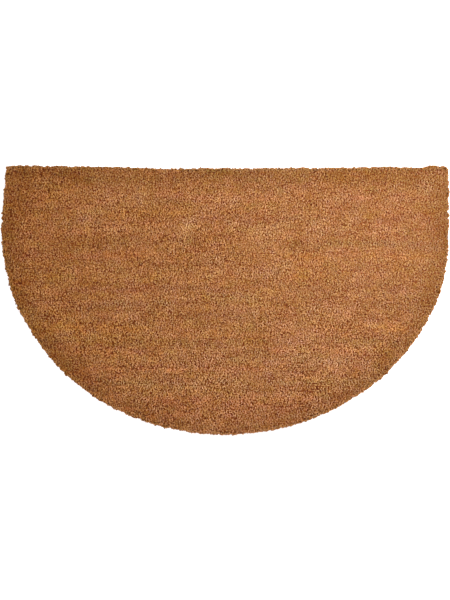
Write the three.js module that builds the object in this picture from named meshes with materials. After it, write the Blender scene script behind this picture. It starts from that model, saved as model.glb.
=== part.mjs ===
import * as THREE from 'three';

// Half round doormat of coir bristles, lying flat on the ground.
//
// Millimetres, +Z up. The origin is on the underside, in the middle of the
// mat's box. +X runs along the straight edge and +Y points from the round edge
// to the straight edge, so the crown of the round edge is at -Y.
//
// The mat is one piece: bristles set in a thin backing and then cut to shape
// through both, so a single solid reaches from the underside to the bristle
// tips. Seen from above it is a straight edge, two short sides that are nearly
// straight, and half an ellipse between them. The cut is a little uneven, and
// the tables below say by how much.

// ---- driving sizes --------------------------------------------------------
const WIDTH = 750;            // over the bristles, along the straight edge
const DEPTH = 450;            // from the straight edge to the crown
const THICKNESS = 15;         // backing and bristles together
const BACKING = 2;            // the cut backing at the foot of the side
const SIDE = 114;             // from the straight edge down to the half ellipse
const ARC_SHIFT = 0.8;        // the half ellipse's centre lies this far to +X
const ARC_HALF_WIDTH = 374.5; // the half ellipse's half axis along X
const ARC_DEPTH = DEPTH - SIDE; // and along Y
const LEFT_CORNER = 4;        // corner radius at the straight edge's -X end
const RIGHT_CORNER = 7;       // and at its +X end

const EDGE_STEP = 12;         // spacing of the outline's points, straight parts
const ARC_STEP = 8;           // and round the half ellipse
const CORNER_STEPS = 6;

// ---- how uneven the cut is ------------------------------------------------
// The straight edge dips towards the middle: how far below its highest point.
const STRAIGHT_EDGE = [
  { x: -375, dip: 0.0 },
  { x: -307, dip: 0.4 },
  { x: -227, dip: 1.3 },
  { x: -146, dip: 3.2 },
  { x: -86, dip: 5.0 },
  { x: -25, dip: 4.2 },
  { x: 35, dip: 4.4 },
  { x: 95, dip: 3.5 },
  { x: 176, dip: 3.4 },
  { x: 256, dip: 2.3 },
  { x: 317, dip: 3.5 },
  { x: 358, dip: 1.2 },
  { x: 375, dip: 0.4 },
];

// The sides: how far in from the box, going down from the straight edge. The
// left one leans in towards the straight edge, the right one is near straight.
const LEFT_SIDE = [
  { down: 0, inset: 7.4 },
  { down: 20, inset: 5.8 },
  { down: 42, inset: 4.4 },
  { down: 65, inset: 3.2 },
  { down: 85, inset: 1.0 },
  { down: 102, inset: 0.0 },
  { down: 114, inset: 0.4 },
];
const RIGHT_SIDE = [
  { down: 0, inset: 1.6 },
  { down: 18, inset: 0.8 },
  { down: 45, inset: 0.3 },
  { down: 70, inset: 0.8 },
  { down: 95, inset: 0.0 },
  { down: 114, inset: 0.9 },
];

// The round edge: how far outside the true half ellipse, by the angle from the
// +X side (0) over the crown (90) to the -X side (180).
const ROUND_EDGE = [
  { deg: 0, out: -1.2 },
  { deg: 10, out: 0.3 },
  { deg: 20, out: 0.9 },
  { deg: 30, out: -0.8 },
  { deg: 50, out: -0.2 },
  { deg: 60, out: -1.0 },
  { deg: 70, out: -0.3 },
  { deg: 80, out: -0.5 },
  { deg: 90, out: 0.0 },
  { deg: 120, out: 0.3 },
  { deg: 140, out: -0.5 },
  { deg: 150, out: -1.6 },
  { deg: 160, out: -0.1 },
  { deg: 170, out: -0.7 },
  { deg: 180, out: 0.9 },
];

// The side's section, from the underside up. The backing is cut square, the
// bristles above it splay out a little past the cut, and their tips round over.
const SECTION = [
  { z: 0, inset: 1.8 },
  { z: BACKING, inset: 1.8 },
  { z: 7, inset: 0.5 },
  { z: 11, inset: 0.0 },
  { z: 14, inset: 0.9 },
  { z: THICKNESS, inset: 3.0 },
];

// ---- helpers --------------------------------------------------------------
// Reads a table at a place between its rows, easing from row to row.
function read(table, key, value, at) {
  const last = table[table.length - 1];
  if (at <= table[0][key]) return table[0][value];
  if (at >= last[key]) return last[value];
  const i = table.findIndex((row) => row[key] > at);
  const a = table[i - 1];
  const b = table[i];
  const t = THREE.MathUtils.smoothstep(at, a[key], b[key]);
  return THREE.MathUtils.lerp(a[value], b[value], t);
}

// Points from one place to another, without the last one.
function stretch(from, to, step, at) {
  const n = Math.max(1, Math.round(Math.abs(to - from) / step));
  return Array.from({ length: n }, (_, i) => at(from + ((to - from) * i) / n));
}

// A rounded corner from one end point to the other, about their common corner.
function corner(start, tip, end) {
  const curve = new THREE.QuadraticBezierCurve(start, tip, end);
  return curve.getPoints(CORNER_STEPS).slice(0, CORNER_STEPS);
}

// ---- the outline, anticlockwise seen from above ---------------------------
const straightEdge = (x) =>
  new THREE.Vector2(x, DEPTH / 2 - read(STRAIGHT_EDGE, 'x', 'dip', x));
const leftSide = (down) =>
  new THREE.Vector2(-WIDTH / 2 + read(LEFT_SIDE, 'down', 'inset', down), DEPTH / 2 - down);
const rightSide = (down) =>
  new THREE.Vector2(WIDTH / 2 - read(RIGHT_SIDE, 'down', 'inset', down), DEPTH / 2 - down);
const roundEdge = (deg) => {
  const t = THREE.MathUtils.degToRad(deg);
  const out = read(ROUND_EDGE, 'deg', 'out', deg);
  const normal = new THREE.Vector2(Math.cos(t) / ARC_HALF_WIDTH, -Math.sin(t) / ARC_DEPTH).normalize();
  return new THREE.Vector2(
    ARC_SHIFT + ARC_HALF_WIDTH * Math.cos(t),
    DEPTH / 2 - SIDE - ARC_DEPTH * Math.sin(t),
  ).addScaledVector(normal, out);
};

const leftEnd = -WIDTH / 2 + LEFT_SIDE[0].inset;
const rightEnd = WIDTH / 2 - RIGHT_SIDE[0].inset;
const arcStepDeg = THREE.MathUtils.radToDeg(ARC_STEP / ((ARC_HALF_WIDTH + ARC_DEPTH) / 2));

const outline = [
  ...stretch(rightEnd - RIGHT_CORNER, leftEnd + LEFT_CORNER, EDGE_STEP, straightEdge),
  ...corner(
    straightEdge(leftEnd + LEFT_CORNER),
    new THREE.Vector2(leftEnd, straightEdge(leftEnd).y),
    leftSide(LEFT_CORNER),
  ),
  ...stretch(LEFT_CORNER, SIDE, EDGE_STEP, leftSide),
  ...stretch(180, 0, arcStepDeg, roundEdge),
  ...stretch(SIDE, RIGHT_CORNER, EDGE_STEP, rightSide),
  ...corner(
    rightSide(RIGHT_CORNER),
    new THREE.Vector2(rightEnd, straightEdge(rightEnd).y),
    straightEdge(rightEnd - RIGHT_CORNER),
  ),
];

// The outline moved in by some distance, square to itself at every point.
function insetOutline(distance) {
  const n = outline.length;
  return outline.map((p, i) => {
    const before = outline[(i + n - 1) % n];
    const after = outline[(i + 1) % n];
    const along = after.clone().sub(before).normalize();
    return new THREE.Vector2(p.x - along.y * distance, p.y + along.x * distance);
  });
}

// ---- the solid: one ring for each row of the section, and two flat faces ---
function matGeometry() {
  const n = outline.length;
  const rings = SECTION.map((row) => insetOutline(row.inset));
  const positions = rings.flatMap((ring, r) => ring.flatMap((p) => [p.x, p.y, SECTION[r].z]));
  const faces = [];
  for (let r = 0; r + 1 < rings.length; r += 1) {
    for (let i = 0; i < n; i += 1) {
      const j = (i + 1) % n;
      const low = r * n;
      const high = low + n;
      faces.push(low + i, low + j, high + j, low + i, high + j, high + i);
    }
  }
  const top = (rings.length - 1) * n;
  const caps = (ring) => THREE.ShapeUtils.triangulateShape(ring, []);
  for (const [a, b, c] of caps(rings[0])) faces.push(a, c, b);
  for (const [a, b, c] of caps(rings[rings.length - 1])) faces.push(top + a, top + b, top + c);

  const geometry = new THREE.BufferGeometry();
  geometry.setAttribute('position', new THREE.Float32BufferAttribute(positions, 3));
  geometry.setIndex(faces);
  geometry.computeVertexNormals();
  return geometry;
}

const coir = new THREE.MeshStandardMaterial({
  name: 'coir',
  color: new THREE.Color().setRGB(0.655, 0.43, 0.262, THREE.SRGBColorSpace),
  roughness: 0.95,
  metalness: 0,
});

const mat = new THREE.Mesh(matGeometry(), coir);
mat.name = 'coir_mat';

const doormat = new THREE.Group();
doormat.name = 'half_round_doormat';
doormat.add(mat);

export default doormat;
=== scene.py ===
"""Half round doormat of coir bristles.

The mat is a low bed of matted fibre on a thin backing, and a pile of stiff
bristles that stand in it in tufts, cut level at the top. Lengths in this
script are millimetres until a mesh is made. Everything random comes from
seeded generators, so each run gives the same mat.
"""

import math

import bpy
import numpy as np
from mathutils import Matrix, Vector, geometry


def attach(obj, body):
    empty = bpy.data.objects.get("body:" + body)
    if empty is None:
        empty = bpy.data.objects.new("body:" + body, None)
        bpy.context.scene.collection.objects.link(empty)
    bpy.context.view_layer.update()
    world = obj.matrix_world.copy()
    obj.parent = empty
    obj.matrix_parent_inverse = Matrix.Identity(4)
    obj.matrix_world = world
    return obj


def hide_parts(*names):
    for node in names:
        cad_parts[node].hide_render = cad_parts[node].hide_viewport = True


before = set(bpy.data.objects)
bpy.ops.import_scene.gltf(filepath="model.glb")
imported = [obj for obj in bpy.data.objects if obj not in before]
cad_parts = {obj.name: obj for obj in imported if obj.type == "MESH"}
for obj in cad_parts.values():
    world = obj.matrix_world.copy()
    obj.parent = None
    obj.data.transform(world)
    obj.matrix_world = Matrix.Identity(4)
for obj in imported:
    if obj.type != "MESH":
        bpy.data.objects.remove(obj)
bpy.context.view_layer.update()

MM = 0.001
NODE = "coir_mat"

# ---- sizes, in millimetres --------------------------------------------------
PILE_TOP = 15.0        # where the bristles are cut
BACKING_TOP = 2.0      # the backing's upper face
BED_TOP = 7.4          # mean height of the matted fibre between the bristles
WIDEST = 11.0          # height at which the solid's side is widest
CUT = 0.9              # the backing is cut this far inside the outline
ROW = 3.3              # from one row of tufts to the next
TUFT = 6.5             # from one tuft to the next along a row
ACROSS, ALONG = 3, 5   # bristles of a tuft: across the row and along it
BANDS = 5              # the pile is split into bands along the straight edge

HUES = 8               # shades of fibre each way: olive to rust, and pink to yellow
UV_MAP = "OFBake"

# Courses of tufts that were set with other fibre, so that they show as streaks along
# the straight edge: where their middle lies, how long and how deep they are, and how
# much lighter, redder and yellower than the rest.
COURSES = [
    {"y": 172, "x": 25, "length": 640, "deep": 8, "light": 0.03, "red": 0.18, "yellow": 0.05},
    {"y": 148, "x": -150, "length": 120, "deep": 8, "light": 0.04, "red": 0.0, "yellow": 0.25},
    {"y": 135, "x": 30, "length": 600, "deep": 6, "light": -0.01, "red": 0.0, "yellow": -0.28},
    {"y": 119, "x": 42, "length": 560, "deep": 8, "light": 0.06, "red": 0.10, "yellow": 0.12},
    {"y": 113, "x": -267, "length": 80, "deep": 8, "light": 0.03, "red": 0.25, "yellow": 0.0},
    {"y": 94, "x": -143, "length": 210, "deep": 8, "light": -0.05, "red": -0.35, "yellow": -0.10},
    {"y": 94, "x": 226, "length": 290, "deep": 8, "light": -0.04, "red": -0.40, "yellow": -0.20},
    {"y": 74, "x": -220, "length": 230, "deep": 8, "light": 0.02, "red": 0.28, "yellow": 0.0},
    {"y": 74, "x": 201, "length": 350, "deep": 9, "light": 0.01, "red": 0.22, "yellow": 0.30},
    {"y": 62, "x": -126, "length": 260, "deep": 6, "light": -0.04, "red": -0.10, "yellow": -0.10},
    {"y": 46, "x": 243, "length": 260, "deep": 8, "light": 0.05, "red": 0.15, "yellow": 0.10},
    {"y": 40, "x": -60, "length": 540, "deep": 8, "light": 0.02, "red": 0.0, "yellow": 0.30},
    {"y": 20, "x": 40, "length": 660, "deep": 8, "light": -0.035, "red": -0.03, "yellow": -0.30},
    {"y": 5, "x": 0, "length": 150, "deep": 7, "light": 0.05, "red": 0.0, "yellow": 0.25},
    {"y": -6, "x": -110, "length": 200, "deep": 8, "light": -0.03, "red": -0.28, "yellow": -0.20},
    {"y": -8, "x": 250, "length": 240, "deep": 9, "light": -0.05, "red": -0.28, "yellow": -0.30},
    {"y": -46, "x": -210, "length": 200, "deep": 9, "light": 0.05, "red": 0.25, "yellow": 0.50},
    {"y": -45, "x": 251, "length": 170, "deep": 9, "light": 0.025, "red": 0.20, "yellow": 0.38},
    {"y": -67, "x": -100, "length": 330, "deep": 8, "light": -0.035, "red": -0.25, "yellow": 0.0},
    {"y": -67, "x": 235, "length": 190, "deep": 8, "light": -0.03, "red": -0.30, "yellow": 0.0},
    {"y": -83, "x": 167, "length": 230, "deep": 8, "light": 0.06, "red": 0.25, "yellow": 0.25},
    {"y": -86, "x": -160, "length": 140, "deep": 8, "light": 0.04, "red": 0.25, "yellow": 0.0},
    {"y": -102, "x": 20, "length": 340, "deep": 7, "light": 0.03, "red": -0.22, "yellow": 0.0},
    {"y": -103, "x": 159, "length": 90, "deep": 8, "light": 0.07, "red": 0.05, "yellow": 0.0},
    {"y": -115, "x": -30, "length": 380, "deep": 7, "light": 0.03, "red": 0.27, "yellow": 0.0},
    {"y": -137, "x": 25, "length": 440, "deep": 8, "light": 0.02, "red": -0.27, "yellow": 0.0},
    {"y": -150, "x": -25, "length": 320, "deep": 8, "light": 0.02, "red": 0.0, "yellow": 0.22},
    {"y": -166, "x": 0, "length": 280, "deep": 8, "light": 0.0, "red": 0.27, "yellow": 0.0},
]

COURSE_GAIN = (0.87, 0.6, 0.6)

# Single tufts of paler or darker fibre.
ODD_TUFTS = [
    {"x": 18, "y": 130, "wide": 2.4, "light": 0.16},
    {"x": 77, "y": -80, "wide": 2.2, "light": 0.08},
    {"x": -247, "y": 190, "wide": 2.2, "light": 0.08},
    {"x": -309, "y": -55, "wide": 2.8, "light": -0.10},
    {"x": -163, "y": -171, "wide": 2.8, "light": -0.10},
    {"x": 251, "y": 36, "wide": 3.0, "light": -0.09},
    {"x": 27, "y": 99, "wide": 2.6, "light": -0.07},
    {"x": 339, "y": 146, "wide": 2.6, "light": -0.08},
]

# Tufts that stand out of the cut edge, and notches where one is missing.
OUT_OF_LINE = [
    {"x": -348, "y": -14, "out": 2.2, "wide": 1.6},
    {"x": -291, "y": -94, "out": 1.4, "wide": 2.0},
    {"x": -266, "y": -124, "out": 2.0, "wide": 1.6},
    {"x": -222, "y": -161, "out": 2.4, "wide": 1.6},
    {"x": 302, "y": -87, "out": 1.4, "wide": 1.8},
    {"x": 271, "y": -121, "out": 1.6, "wide": 1.6},
    {"x": 374, "y": 143, "out": 1.6, "wide": 1.6},
    {"x": 374, "y": 204, "out": -1.9, "wide": 1.2},
    {"x": 374, "y": 191, "out": -1.7, "wide": 1.2},
    {"x": 374, "y": 172, "out": -1.9, "wide": 1.1},
    {"x": 374, "y": 149, "out": -2.2, "wide": 1.1},
    {"x": 374, "y": 137, "out": -1.9, "wide": 1.1},
]


# ---- the outline, from the solid's widest ring ------------------------------
def outline_of(node, z):
    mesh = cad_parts[node].data
    co = np.empty(len(mesh.vertices) * 3, np.float32)
    mesh.vertices.foreach_get("co", co)
    co = co.reshape(-1, 3).astype(float) / MM
    ring = co[np.abs(co[:, 2] - z) < 0.05][:, :2]
    ring = np.unique(ring.round(3), axis=0)
    turn = np.arctan2(ring[:, 1] - 20.0, ring[:, 0])
    return ring[np.argsort(turn)]


def within(ring, px, py):
    """Whether each place lies within a ring."""
    inside = np.zeros(np.shape(px), bool)
    for a, b in zip(ring, np.roll(ring, -1, axis=0)):
        crosses = (a[1] > py) != (b[1] > py)
        if crosses.any():
            inside ^= crosses & (px < a[0] + (py - a[1]) * (b[0] - a[0]) / (b[1] - a[1]))
    return inside


class Distance:
    """How far inside an outline a place is, and which way is out, read off a grid."""

    def __init__(self, ring, step=1.5, reach=18.0):
        self.step = step
        self.low = ring.min(0) - reach
        n = np.ceil((np.ptp(ring, axis=0) + 2 * reach) / step).astype(int) + 1
        x = self.low[0] + step * np.arange(n[0])
        y = self.low[1] + step * np.arange(n[1])
        px, py = np.meshgrid(x, y, indexing="ij")
        near = np.full(px.shape, 1e9)
        for a, b in zip(ring, np.roll(ring, -1, axis=0)):
            d = b - a
            t = (((px - a[0]) * d[0] + (py - a[1]) * d[1]) / (d @ d)).clip(0, 1)
            gap = (px - a[0] - t * d[0]) ** 2 + (py - a[1] - t * d[1]) ** 2
            np.minimum(near, gap, out=near)
        self.grid = np.sqrt(near) * np.where(within(ring, px, py), 1.0, -1.0)
        self.gx, self.gy = np.gradient(self.grid, step)

    def read(self, grid, x, y):
        fx = ((x - self.low[0]) / self.step).clip(0, grid.shape[0] - 1.001)
        fy = ((y - self.low[1]) / self.step).clip(0, grid.shape[1] - 1.001)
        i, j = fx.astype(int), fy.astype(int)
        fx, fy = fx - i, fy - j
        return (grid[i, j] * (1 - fx) + grid[i + 1, j] * fx) * (1 - fy) + (
            grid[i, j + 1] * (1 - fx) + grid[i + 1, j + 1] * fx
        ) * fy

    def inside(self, x, y):
        return self.read(self.grid, x, y)

    def outward(self, x, y):
        gx, gy = -self.read(self.gx, x, y), -self.read(self.gy, x, y)
        size = np.maximum(np.hypot(gx, gy), 1e-6)
        return gx / size, gy / size


def field(x, y, wide, deep, seed):
    """A smooth random field of about unit strength, with features this wide and deep."""
    fx, fy = (x + 500.0) / wide, (y + 500.0) / deep
    i, j = np.floor(fx).astype(int), np.floor(fy).astype(int)
    table = np.random.default_rng(seed).normal(size=(i.max() + 3, j.max() + 3))
    tx, ty = fx - i, fy - j
    tx, ty = tx * tx * (3 - 2 * tx), ty * ty * (3 - 2 * ty)
    low = table[i, j] * (1 - tx) + table[i + 1, j] * tx
    high = table[i, j + 1] * (1 - tx) + table[i + 1, j + 1] * tx
    return (low * (1 - ty) + high * ty) * 1.35


def grain(x, y, finest, coarsest, seed, pits, step=0.85, upright=0.6):
    """A random field of unit strength whose features repeat every finest to coarsest
    millimetres and no slower, so that it is even over larger areas. They are drawn out
    along Y, more so the nearer upright is to 1, and its lows are deeper than its highs,
    more so the larger pits is."""
    size = (960, 640)
    noise = np.random.default_rng(seed).normal(size=size)
    fx, fy = np.fft.fftfreq(size[0], step)[:, None], np.fft.fftfreq(size[1], step)[None]
    rate = np.maximum(np.hypot(fx, fy), 1e-9)
    slow = 1 - np.exp(-((coarsest * rate) ** 4))
    keep = np.exp(-((finest * rate) ** 4)) * slow * (1 - upright * (fy / rate) ** 2)
    table = np.fft.ifft2(np.fft.fft2(noise) * keep).real
    table = -np.exp(-pits * table / table.std()).clip(None, 11.0)
    table = np.fft.ifft2(np.fft.fft2(table) * slow).real
    table /= table.std()
    fx, fy = x / step + size[0] / 2, y / step + size[1] / 2
    i, j = np.floor(fx).astype(int), np.floor(fy).astype(int)
    fx, fy = fx - i, fy - j
    return (table[i, j] * (1 - fx) + table[i + 1, j] * fx) * (1 - fy) + (
        table[i, j + 1] * (1 - fx) + table[i + 1, j + 1] * fx
    ) * fy


def along(ring, step):
    """The ring again, with points evenly this far apart."""
    loop = np.vstack([ring, ring[:1]])
    run = np.concatenate([[0], np.cumsum(np.hypot(*np.diff(loop, axis=0).T))])
    s = np.arange(round(run[-1] / step)) * run[-1] / round(run[-1] / step)
    return np.stack([np.interp(s, run, loop[:, 0]), np.interp(s, run, loop[:, 1])], 1)


ring = outline_of(NODE, WIDEST)
edge = Distance(ring)
rng = np.random.default_rng(41)


# ---- the pile: where each bristle's tip and root are, and its shade ---------
# The tufts' cells fill rows that run along the straight edge. Each row starts
# at its own place, and no two tufts are quite as wide, so that they don't line
# up from row to row.
low, high = ring.min(0) - 8.0, ring.max(0) + 8.0
rows = np.arange(low[1], high[1], ROW)
wide = TUFT * rng.normal(1.0, 0.13, (len(rows), int((high[0] - low[0]) / TUFT) + 8)).clip(0.75, 1.25)
cx = low[0] - TUFT * rng.uniform(1, 2, len(rows))[:, None] + np.cumsum(wide, 1) - 0.5 * wide
cy = np.repeat(rows, wide.shape[1])
cx, wide = cx.ravel(), wide.ravel()
cy = cy + rng.normal(0, 0.3, len(cy)) + 0.7 * field(cx, cy, 34, 15, 3)
near = edge.inside(cx, cy) > -6.0
cx, cy, wide = cx[near], cy[near], wide[near]
tufts = len(cx)
lean_x, lean_y = rng.normal(0, 0.25, tufts), rng.normal(0, 0.25, tufts)
drop = np.abs(rng.normal(0, 0.15, tufts))
tuft_tone, tuft_hue = rng.normal(0, 1, tufts), rng.normal(0, 1, tufts)

# In its cell, a tuft's bristles fan out from a narrower root.
a, b = np.meshgrid((np.arange(ALONG) + 0.5) / ALONG - 0.5, (np.arange(ACROSS) + 0.5) / ACROSS - 0.5)
each = ACROSS * ALONG
k = np.repeat(np.arange(tufts), each)
n = len(k)
strand = k * ALONG + np.tile(np.arange(each) % ALONG, tufts)
strand_y = rng.normal(0, 0.3, tufts * ALONG)
strand_tone = rng.normal(0, 1, tufts * ALONG)
strand_drop = rng.uniform(2.5, 6.5, tufts * ALONG) * (
    (np.arange(tufts * ALONG) % ALONG == np.repeat(rng.integers(0, ALONG, tufts), ALONG))
    & np.repeat(rng.random(tufts) < 0.55, ALONG)
)
fan_x = (np.tile(a.ravel(), tufts) + rng.uniform(-0.5, 0.5, n) / ALONG * 0.6) * wide[k] * 0.88
fan_y = (np.tile(b.ravel(), tufts) + rng.uniform(-0.5, 0.5, n) / ACROSS * 0.6) * ROW
tip_x = cx[k] + fan_x + lean_x[k] + rng.normal(0, 0.22, n)
tip_y = cy[k] + fan_y + strand_y[strand] + lean_y[k] + rng.normal(0, 0.32, n)


# The edge is cut with the pile, a little frayed: how deep inside the outline the
# outermost tips are, and which of them belong to tufts that stand out.
def frayed(x, y):
    turn = np.arctan2(y - 20.0, x) * 320.0 + 1100.0
    fray = -0.80 + 0.33 * field(turn, turn * 0, 8.0, 50.0, 51)
    fray = fray + 0.48 * field(turn, turn * 0, 2.6, 50.0, 52) + 0.26 * field(turn, turn * 0, 1.3, 50.0, 53)
    fray = fray - 0.9 * (field(turn, turn * 0, 2.2, 50.0, 54) - 1.5).clip(0, None)
    odd = np.zeros(len(x))
    for t in OUT_OF_LINE:
        by = np.exp(-((x - t["x"]) ** 2 + (y - t["y"]) ** 2) / (2 * (1.6 * t["wide"]) ** 2))
        fray = fray - t["out"] * by
        odd = np.maximum(odd, by * (t["out"] > 0))
    return fray, odd


fray, odd = frayed(tip_x, tip_y)
depth = edge.inside(tip_x, tip_y)
keep = (depth > fray) & (rng.random(n) > 0.03)
k, strand, fan_x, fan_y, tip_x, tip_y, depth, odd = (
    v[keep] for v in (k, strand, fan_x, fan_y, tip_x, tip_y, depth, odd)
)
n = len(k)

root_x = tip_x - 0.55 * fan_x - lean_x[k] + rng.normal(0, 0.45, n)
root_y = tip_y - 0.15 * (fan_y + strand_y[strand]) - lean_y[k] + rng.normal(0, 0.6, n)
short = np.maximum(2.1 - edge.inside(root_x, root_y), 0.0)
out_x, out_y = edge.outward(root_x, root_y)
root_x, root_y = root_x - out_x * short, root_y - out_y * short
lower = drop[k] + strand_drop[strand]
shade = strand_tone[strand]
inner = n

# Where the mat was cut, bristles from the tufts that the knife went through splay out
# of the side, close together.
for near, far, step in ((0.0, 0.6, 0.66), (0.5, 1.6, 0.85), (1.2, 2.6, 1.25)):
    line = along(ring, step)
    line = line + rng.uniform(-0.3, 0.3, line.shape)
    out_x, out_y = edge.outward(line[:, 0], line[:, 1])
    fray, off = frayed(line[:, 0], line[:, 1])
    into = fray + rng.uniform(near, far, len(line)) + edge.inside(line[:, 0], line[:, 1])
    foot = into + rng.uniform(2.0, 3.2, len(line)).clip(1.6 - into, None)
    skew = rng.normal(0, 0.9, len(line))
    tip_x, tip_y = np.append(tip_x, line[:, 0] - into * out_x), np.append(tip_y, line[:, 1] - into * out_y)
    root_x = np.append(root_x, line[:, 0] - foot * out_x + skew * out_y)
    root_y = np.append(root_y, line[:, 1] - foot * out_y - skew * out_x)
    odd = np.append(odd, off)
    lower = np.append(lower, rng.uniform(0, 1.6, len(line)))
    shade = np.append(shade, rng.normal(0, 1, len(line)))
n = len(tip_x)
depth = edge.inside(tip_x, tip_y)

# Small gaps and clumps, finer than a tuft, run through the whole pile.
fine = grain(tip_x, tip_y, 2.7, 6.0, 31, 1.5, upright=0.5)
fine = fine - 0.4 * (fine - 0.5).clip(0, None) - 0.45 * (-0.9 - fine).clip(0, None)
rim = np.clip(1 - depth / 4.0, 0, 1.4)
top = PILE_TOP - lower - np.abs(rng.normal(0, 0.38, n)) - 1.3 * rim**1.7
pit = rng.random(n) < 0.02
top = top - pit * rng.uniform(1.0, 3.5, n)
stray = rng.random(n) < 0.012
top = top + stray * rng.uniform(0.3, 1.2, n)
width = rng.uniform(1.25, 1.75, n)
width[inner:] *= 0.85

# How light, red and yellow each bristle is.
end = tip_x / 375.0
light = (
    0.011 * field(tip_x, tip_y, 40, 9, 11) + 0.016 * field(tip_x, tip_y, 24, 32, 13)
    + 0.013 * field(tip_x, tip_y, 10, 17, 12)
)
# Painted shade towards both ends in X, and a little painted light towards +X, where the key light stands.
light = light - 0.035 * end**2 + 0.005 * end
# Red and yellow fall towards +X: a painted sheen, paler and duller under the key light.
red = (
    -0.17 * end + 0.05 * field(tip_x, tip_y, 40, 11, 21) + 0.05 * field(tip_x, tip_y, 17, 9, 22)
    + 0.06 * field(tip_x, tip_y, 7, 6, 23)
)
yellow = (
    -0.12 * end + 0.05 * field(tip_x, tip_y, 44, 11, 24) + 0.05 * field(tip_x, tip_y, 18, 9, 25)
    + 0.06 * field(tip_x, tip_y, 8, 6, 26)
)

# The round half is a little pinker, and the far +X end paler and duller: a painted sheen under the key light.
yellow = yellow - 0.095 * ((60.0 - tip_y) / 120.0).clip(0, 1) * (0.6 + end).clip(0, 1)
far_end_sheen = ((end - 0.76) / 0.14).clip(0, 1)
light, red, yellow = light + 0.012 * far_end_sheen, red - 0.08 * far_end_sheen, yellow - 0.07 * far_end_sheen

for i, c in enumerate(COURSES):
    worn = 1.0 + 0.35 * field(tip_x, tip_y, 17, 6, 100 + i)
    y = c["y"] + 1.6 * field(tip_x, tip_y, 50, 40, 200 + i)
    ends = 0.5 * c["length"] + 12 * field(tip_x, tip_y, 30, 5, 300 + i)
    share = np.exp(-0.5 * ((tip_y - y) / (0.5 * c["deep"])) ** 2)
    share = share / (1 + np.exp((np.abs(tip_x - c["x"]) - ends) / 9.0)) * worn
    light = light + COURSE_GAIN[0] * c["light"] * share
    red = red + COURSE_GAIN[1] * c["red"] * share
    yellow = yellow + COURSE_GAIN[2] * c["yellow"] * share

for t in ODD_TUFTS:
    light = light + t["light"] * np.exp(-((tip_x - t["x"]) ** 2 + (tip_y - t["y"]) ** 2) / (2 * t["wide"] ** 2))

# Painted shade darkens the pile near its edge, and the last tips most. Round the crown the painted shade is
# redder.
edge_shade = np.clip((43.0 - depth) / 32.0, 0, 1)
edge_shade = edge_shade * edge_shade * (3 - 2 * edge_shade)
last_tip_shade = np.clip(1 - depth / 2.5, 0, 1.3)
crown = ((-tip_y - 100.0) / 100.0).clip(0, 1)
dark = rng.random(n) < 0.045
# Bristles cut lower are painted darker, as shade in the pile's hollows; the edge terms here are painted shade
# too.
tone = (
    0.6565 + 0.015 * rng.normal(0, 1, n) + 0.012 * shade - 0.30 * dark + 0.185 * fine - 0.016 * lower
    + 0.8 * light - 0.075 * edge_shade - 0.035 * last_tip_shade - 0.05 * odd
)
step = 1.0 / HUES
# hue: the painted shade near the edge and on the last tips is also deeper in colour
hue_x = 0.465 + red - (0.2 - 0.12 * crown) * edge_shade - 0.55 * last_tip_shade + rng.uniform(-0.5, 0.5, n) * step
hue_y = 0.46 + yellow - (0.16 + 0.1 * crown) * edge_shade - 0.32 * last_tip_shade + rng.uniform(-0.5, 0.5, n) * step
alien = rng.random(n) < 0.004
hue_x = np.where(alien, rng.random(n), hue_x)
hue_y = np.where(alien, rng.random(n), hue_y)


def make_mesh(name, verts, loops, uv=None, smooth=False):
    mesh = bpy.data.meshes.new(name)
    mesh.vertices.add(len(verts))
    mesh.vertices.foreach_set("co", (verts * MM).astype(np.float32).ravel())
    mesh.loops.add(len(loops))
    mesh.loops.foreach_set("vertex_index", loops.astype(np.int32))
    faces = len(loops) // 3
    mesh.polygons.add(faces)
    mesh.polygons.foreach_set("loop_start", np.arange(faces, dtype=np.int32) * 3)
    mesh.polygons.foreach_set("use_smooth", np.full(faces, smooth))
    if uv is not None:
        layer = mesh.uv_layers.new(name=UV_MAP, do_init=False)
        layer.uv.foreach_set("vector", uv.astype(np.float32).ravel())
    mesh.update()
    mesh.validate()
    ob = bpy.data.objects.new(name, mesh)
    bpy.context.scene.collection.objects.link(ob)
    return ob


def place_on_map(sel):
    """A bristle's column on the map, by how yellow and how light it is, and the foot of
    its band, by how red it is."""
    row = np.clip(np.floor(hue_x[sel] * HUES), 0, HUES - 1)
    col = np.clip(np.floor(hue_y[sel] * HUES), 0, HUES - 1)
    return (col + tone[sel].clip(0.03, 0.97)) / HUES, row / HUES


def three_around(centre, size, spin, tilt):
    out = np.empty((len(centre), 3, 3))
    for i in range(3):
        t = spin + i * 2 * math.pi / 3
        dx, dy = size * np.cos(t), size * np.sin(t)
        out[:, i, 0] = centre[:, 0] + dx
        out[:, i, 1] = centre[:, 1] + dy
        out[:, i, 2] = centre[:, 2] + dx * tilt[:, 0] + dy * tilt[:, 1]
    return out


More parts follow.
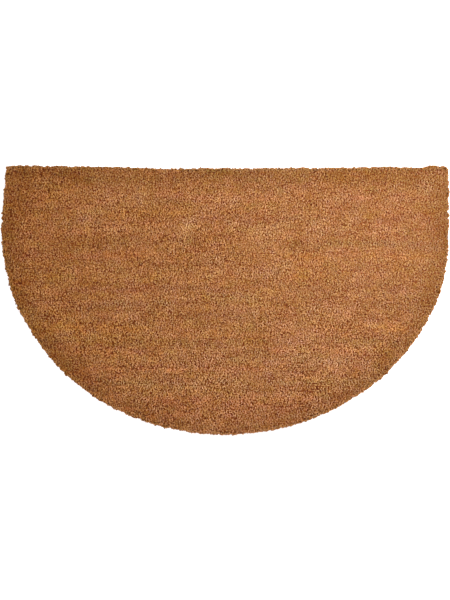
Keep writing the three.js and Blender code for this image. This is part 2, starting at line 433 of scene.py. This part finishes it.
def bristles(sel, splayed):
    """Closed bristles, three-sided. Inside the mat they come to a point at the root,
    where the bed hides them. At the edge they keep their width down to the backing."""
    m = len(sel)
    root = np.stack([root_x[sel], root_y[sel], np.full(m, BACKING_TOP + 0.2)], 1)
    tip = np.stack([tip_x[sel], tip_y[sel], top[sel]], 1)
    spin = rng.uniform(0, 2 * math.pi, m)
    tilt = rng.normal(0, 0.12, (m, 2))
    upper = three_around(tip, width[sel] * 0.5, spin, tilt)
    u, v0 = place_on_map(sel)
    du = 1.2 / 1024
    if splayed:
        lower = three_around(root, width[sel] * 0.42, spin, np.zeros((m, 2)))
        verts = np.concatenate([lower, upper], 1)
        faces = [[3, 4, 5], [0, 2, 1], [0, 1, 4], [0, 4, 3], [1, 2, 5], [1, 5, 4], [2, 0, 3], [2, 3, 5]]
        side_u = (-1, 1, 0, -1, 1, 0)
        side_h = (0.06, 0.06, 0.05, 0.80, 0.80, 0.78)
    else:
        verts = np.concatenate([root[:, None], upper], 1)
        faces = [[1, 2, 3], [0, 2, 1], [0, 3, 2], [0, 1, 3]]
        side_u = (0, -1, 1, 0)
        side_h = (0.06, 0.80, 0.80, 0.77)
    uv = np.empty((m, len(faces), 3, 2))
    for f, face in enumerate(faces):
        for i, vert in enumerate(face):
            # Sides sit below 0.84 on the map and take the painted root shade; the cut tops sit above it and keep
            # their full colour.
            s, h = ((-1, 1, 0)[i], (0.86, 0.86, 0.93)[i]) if f == 0 else (side_u[vert], side_h[vert])
            uv[:, f, i, 0] = u + s * du
            uv[:, f, i, 1] = v0 + h / HUES
    loops = np.arange(m)[:, None, None] * verts.shape[1] + np.array(faces)[None]
    return verts.reshape(-1, 3), loops.reshape(-1), uv.reshape(-1, 2)


SPLAYED = depth < 4.0
order = np.argsort(-tip_y, kind="stable")
order = order[~SPLAYED[order]]
pile = []
for i, sel in enumerate(np.array_split(order, BANDS)):
    pile.append(make_mesh(f"bristles_{i + 1}", *bristles(np.sort(sel), False)))
pile.append(make_mesh("bristles_edge", *bristles(np.flatnonzero(SPLAYED), True)))


# ---- the bed: backing and matted fibre, one closed sheet --------------------
def moved_in(points, by):
    """The points moved in from the outline, each towards the mat's middle, so that
    none crosses its neighbour at a corner."""
    ox, oy = edge.outward(points[:, 0], points[:, 1])
    ray = points - np.array([0.0, 20.0])
    ray /= np.hypot(ray[:, 0], ray[:, 1])[:, None]
    steep = ray[:, 0] * ox + ray[:, 1] * oy
    return points - ray * (by / steep)[:, None]


def bed():
    """Rings up the side, then jittered points over the top, all joined into one form."""
    step = 3.3
    line = along(ring, step)
    m = len(line)
    levels = [(CUT, 0.0), (CUT, BACKING_TOP), (CUT + 0.3, BACKING_TOP + 0.8), (CUT + 1.3, 5.6)]
    wall = []
    for i, (inset, z) in enumerate(levels):
        p = moved_in(line, inset + (rng.uniform(-0.3, 0.3, m) if i > 1 else 0))
        wall.append(np.column_stack([p, np.full(m, z) + (rng.uniform(-0.4, 0.4, m) if i == 3 else 0)]))
    wall = np.array(wall)
    faces = []
    i = np.arange(m)
    j = (i + 1) % m
    for r in range(len(levels) - 1):
        p, q = r * m, (r + 1) * m
        faces += [np.stack([p + i, p + j, q + j], 1), np.stack([p + i, q + j, q + i], 1)]

    rim = wall[-1]
    low, high = ring.min(0), ring.max(0)
    gx, gy = np.meshgrid(np.arange(low[0], high[0], step), np.arange(low[1], high[1], step))
    gx = gx + rng.uniform(-0.33, 0.33, gx.shape) * step
    gy = gy + rng.uniform(-0.33, 0.33, gy.shape) * step
    gx, gy = gx.ravel(), gy.ravel()
    keep = edge.inside(gx, gy) > levels[-1][0] + 0.4 + 0.75 * step
    gx, gy = gx[keep], gy[keep]
    d = edge.inside(gx, gy)
    z = BED_TOP + 0.8 * rng.normal(0, 1, len(gx)).clip(-2, 2) - 1.4 * np.clip(1 - (d - 4) / 6, 0, 1)

    def fill(points, border):
        """Triangles over all the points, none of them outside the border's line."""
        co, _, tris, source, _, _ = geometry.delaunay_2d_cdt(
            [Vector(p) for p in points], [(p, (p + 1) % border) for p in range(border)], [], 1, 1e-5, True
        )
        assert len(co) == len(points)
        back = np.array([s[0] for s in source])
        tris = back[np.array(tris)]
        middle = points[tris].mean(1)
        outside = (tris < border).all(1)
        outside[outside] = ~within(points[:border], *middle[outside].T)
        return tris[~outside]

    lid = fill(np.vstack([rim[:, :2], np.column_stack([gx, gy])]), m)
    sole = fill(wall[0][:, :2], m)
    faces += [lid + (len(levels) - 1) * m, sole[:, ::-1]]
    verts = np.vstack([wall.reshape(-1, 3), np.column_stack([gx, gy, z])])
    return make_mesh("coir_bed", verts, np.concatenate(faces).ravel())


base = bed()


# ---- materials --------------------------------------------------------------
def material(name):
    mat = bpy.data.materials.new(name)
    mat.use_nodes = True
    nt = mat.node_tree
    nt.nodes.clear()
    out = nt.nodes.new("ShaderNodeOutputMaterial")
    bsdf = nt.nodes.new("ShaderNodeBsdfPrincipled")
    nt.links.new(bsdf.outputs[0], out.inputs["Surface"])
    return mat, nt, bsdf


def srgb(r, g, b):
    def lin(c):
        c /= 255.0
        return c / 12.92 if c <= 0.04045 else ((c + 0.055) / 1.055) ** 2.4
    return (lin(r), lin(g), lin(b), 1.0)


def ramp(nt, fac, stops):
    node = nt.nodes.new("ShaderNodeValToRGB")
    cr = node.color_ramp
    while len(cr.elements) > 1:
        cr.elements.remove(cr.elements[-1])
    cr.elements[0].position = stops[0][0]
    cr.elements[0].color = stops[0][1]
    for at, col in stops[1:]:
        cr.elements.new(at).color = col
    nt.links.new(fac, node.inputs[0])
    return node.outputs[0]


def maths(nt, op, *inputs):
    node = nt.nodes.new("ShaderNodeMath")
    node.operation = op
    for i, x in enumerate(inputs):
        if isinstance(x, (int, float)):
            node.inputs[i].default_value = x
        else:
            nt.links.new(x, node.inputs[i])
    return node.outputs[0]


def mix_colour(nt, fac, a, b, mode="MIX"):
    node = nt.nodes.new("ShaderNodeMix")
    node.data_type = "RGBA"
    node.blend_type = mode
    for socket, x in ((node.inputs[0], fac), (node.inputs[6], a), (node.inputs[7], b)):
        if isinstance(x, (int, float, tuple)):
            socket.default_value = x
        else:
            nt.links.new(x, socket)
    return node.outputs[2]


def fibre_material(name, root_shade_stops):
    mat, nt, bsdf = material(name)
    uv = nt.nodes.new("ShaderNodeUVMap")
    uv.uv_map = UV_MAP
    xyz = nt.nodes.new("ShaderNodeSeparateXYZ")
    nt.links.new(uv.outputs[0], xyz.inputs[0])
    rows = maths(nt, "MULTIPLY", xyz.outputs[1], float(HUES))
    cols = maths(nt, "MULTIPLY", xyz.outputs[0], float(HUES))
    height, light = maths(nt, "FRACT", rows), maths(nt, "FRACT", cols)
    redness = maths(nt, "DIVIDE", maths(nt, "FLOOR", rows), float(HUES - 1))
    yellowness = maths(nt, "DIVIDE", maths(nt, "FLOOR", cols), float(HUES - 1))
    rust = ramp(nt, light, [
        (0.0, srgb(72, 15, 0)), (0.28, srgb(105, 30, 0)), (0.44, srgb(135, 63, 4)),
        (0.60, srgb(164, 100, 52)), (0.76, srgb(184, 122, 80)), (1.0, srgb(211, 156, 123)),
    ])
    olive = ramp(nt, light, [
        (0.0, srgb(60, 18, 0)), (0.28, srgb(90, 37, 0)), (0.44, srgb(121, 70, 4)),
        (0.60, srgb(150, 107, 52)), (0.76, srgb(170, 129, 80)), (1.0, srgb(197, 163, 123)),
    ])
    colour = mix_colour(nt, redness, olive, rust)
    tint = mix_colour(nt, yellowness, (1.0, 0.955, 1.30, 1), (1.0, 1.045, 0.70, 1))
    colour = mix_colour(nt, 1.0, colour, tint, "MULTIPLY")
    # painted shade: darker and deeper in colour towards the root, deep in the pile
    root_shade = ramp(nt, height, root_shade_stops + [(0.84, (1, 1, 1, 1))])
    colour = mix_colour(nt, 1.0, colour, root_shade, "MULTIPLY")
    nt.links.new(colour, bsdf.inputs["Base Color"])
    # each bristle is a twist of finer fibres, which run along it
    spread = nt.nodes.new("ShaderNodeCombineXYZ")
    nt.links.new(maths(nt, "MULTIPLY", xyz.outputs[0], 2400.0), spread.inputs[0])
    nt.links.new(maths(nt, "MULTIPLY", xyz.outputs[1], 70.0), spread.inputs[1])
    fibres = nt.nodes.new("ShaderNodeTexNoise")
    fibres.noise_dimensions = "2D"
    fibres.inputs["Scale"].default_value = 1.0
    fibres.inputs["Detail"].default_value = 3.0
    nt.links.new(spread.outputs[0], fibres.inputs["Vector"])
    bump = nt.nodes.new("ShaderNodeBump")
    bump.inputs["Strength"].default_value = 0.6
    bump.inputs["Distance"].default_value = 0.0003
    nt.links.new(fibres.outputs["Fac"], bump.inputs["Height"])
    nt.links.new(bump.outputs[0], bsdf.inputs["Normal"])
    rough = maths(nt, "SUBTRACT", 0.98, maths(nt, "MULTIPLY", height, 0.34))
    rough = maths(nt, "ADD", rough, maths(nt, "MULTIPLY", maths(nt, "SUBTRACT", fibres.outputs["Fac"], 0.5), 0.3))
    nt.links.new(rough, bsdf.inputs["Roughness"])
    bsdf.inputs["Specular IOR Level"].default_value = 0.05
    return mat


def bed_material():
    mat, nt, bsdf = material("coir_matting")
    co = nt.nodes.new("ShaderNodeTexCoord")
    noise = nt.nodes.new("ShaderNodeTexNoise")
    noise.inputs["Scale"].default_value = 420.0
    noise.inputs["Detail"].default_value = 4.0
    nt.links.new(co.outputs["Object"], noise.inputs["Vector"])
    # cut backing and its binder below, matted fibre above, painted dark as the shade between the bristles
    fibre = ramp(nt, noise.outputs["Fac"], [(0.3, srgb(86, 30, 2)), (0.7, srgb(138, 62, 12))])
    binder = ramp(nt, noise.outputs["Fac"], [(0.3, srgb(82, 58, 38)), (0.7, srgb(116, 84, 56))])
    xyz = nt.nodes.new("ShaderNodeSeparateXYZ")
    nt.links.new(co.outputs["Object"], xyz.inputs[0])
    over = ramp(nt, maths(nt, "DIVIDE", xyz.outputs[2], 0.008), [(0.45, (0, 0, 0, 1)), (0.72, (1, 1, 1, 1))])
    colour = mix_colour(nt, over, binder, fibre)
    nt.links.new(colour, bsdf.inputs["Base Color"])
    bump = nt.nodes.new("ShaderNodeBump")
    bump.inputs["Strength"].default_value = 0.5
    bump.inputs["Distance"].default_value = 0.001
    nt.links.new(noise.outputs["Fac"], bump.inputs["Height"])
    nt.links.new(bump.outputs[0], bsdf.inputs["Normal"])
    bsdf.inputs["Roughness"].default_value = 0.95
    return mat


# The stops are painted shade towards the root: deep and red in the pile, greyer on the splayed bristles at the
# cut edge.
fibre = fibre_material("coir_fibre", [
    (0.06, (0.40, 0.10, 0.01, 1)), (0.50, (0.74, 0.38, 0.08, 1)), (0.80, (0.92, 0.62, 0.26, 1)),
])
edge_fibre = fibre_material("coir_fibre_edge", [
    (0.06, (0.36, 0.24, 0.14, 1)), (0.50, (0.66, 0.52, 0.36, 1)), (0.80, (0.88, 0.79, 0.66, 1)),
])
for ob in pile:
    ob.data.materials.append(edge_fibre if ob is pile[-1] else fibre)
base.data.materials.append(bed_material())

for ob in [base] + pile:
    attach(ob, "root")
    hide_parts(NODE)


# ---- floor, light, camera ---------------------------------------------------
def floor():
    mesh = bpy.data.meshes.new("floor")
    s = 12.0
    mesh.from_pydata([(-s, -s, 0), (s, -s, 0), (s, s, 0), (-s, s, 0)], [], [(0, 1, 2, 3)])
    ob = bpy.data.objects.new("floor", mesh)
    bpy.context.scene.collection.objects.link(ob)
    mat, nt, bsdf = material("floor")
    bsdf.inputs["Base Color"].default_value = (0.95, 0.95, 0.95, 1)
    bsdf.inputs["Roughness"].default_value = 0.9
    bsdf.inputs["Specular IOR Level"].default_value = 0.1
    bsdf.inputs["Emission Color"].default_value = (1, 1, 1, 1)
    bsdf.inputs["Emission Strength"].default_value = 0.4
    mesh.materials.append(mat)
    ob.location.z = -0.0005


def area_light(name, at, look, size, power):
    data = bpy.data.lights.new(name, "AREA")
    data.shape = "DISK"
    data.size = size
    data.energy = power
    ob = bpy.data.objects.new(name, data)
    bpy.context.scene.collection.objects.link(ob)
    ob.location = at
    ob.rotation_euler = (Vector(look) - Vector(at)).to_track_quat("-Z", "Y").to_euler()


floor()
area_light("key", (0.40, 0.21, 0.90), (-0.05, 0, 0), 0.40, 17.2)
area_light("top", (0.03, 0.02, 1.3), (0.03, 0.02, 0), 0.7, 4.5)

world = bpy.data.worlds.new("studio")
bpy.context.scene.world = world
world.use_nodes = True
world.node_tree.nodes["Background"].inputs[0].default_value = (1, 1, 1, 1)
world.node_tree.nodes["Background"].inputs[1].default_value = 1.02

camera = bpy.data.cameras.new("camera")
cam = bpy.data.objects.new("camera", camera)
bpy.context.scene.collection.objects.link(cam)
PX = 750.0 / 446.9          # millimetres a pixel at the pile's top
HIGH = 3200.0               # the lens above the floor
camera.sensor_width = 36.0
camera.lens = 36.0 * (HIGH - 12.0) / (600.0 * PX)
camera.clip_end = 50.0
cam.location = ((225.0 - 225.2) * PX * MM, (300.25 - 300.0) * PX * MM, HIGH * MM)
cam.rotation_euler = (0, 0, 0)
bpy.context.scene.camera = cam
bpy.context.scene.view_settings.view_transform = "Standard"
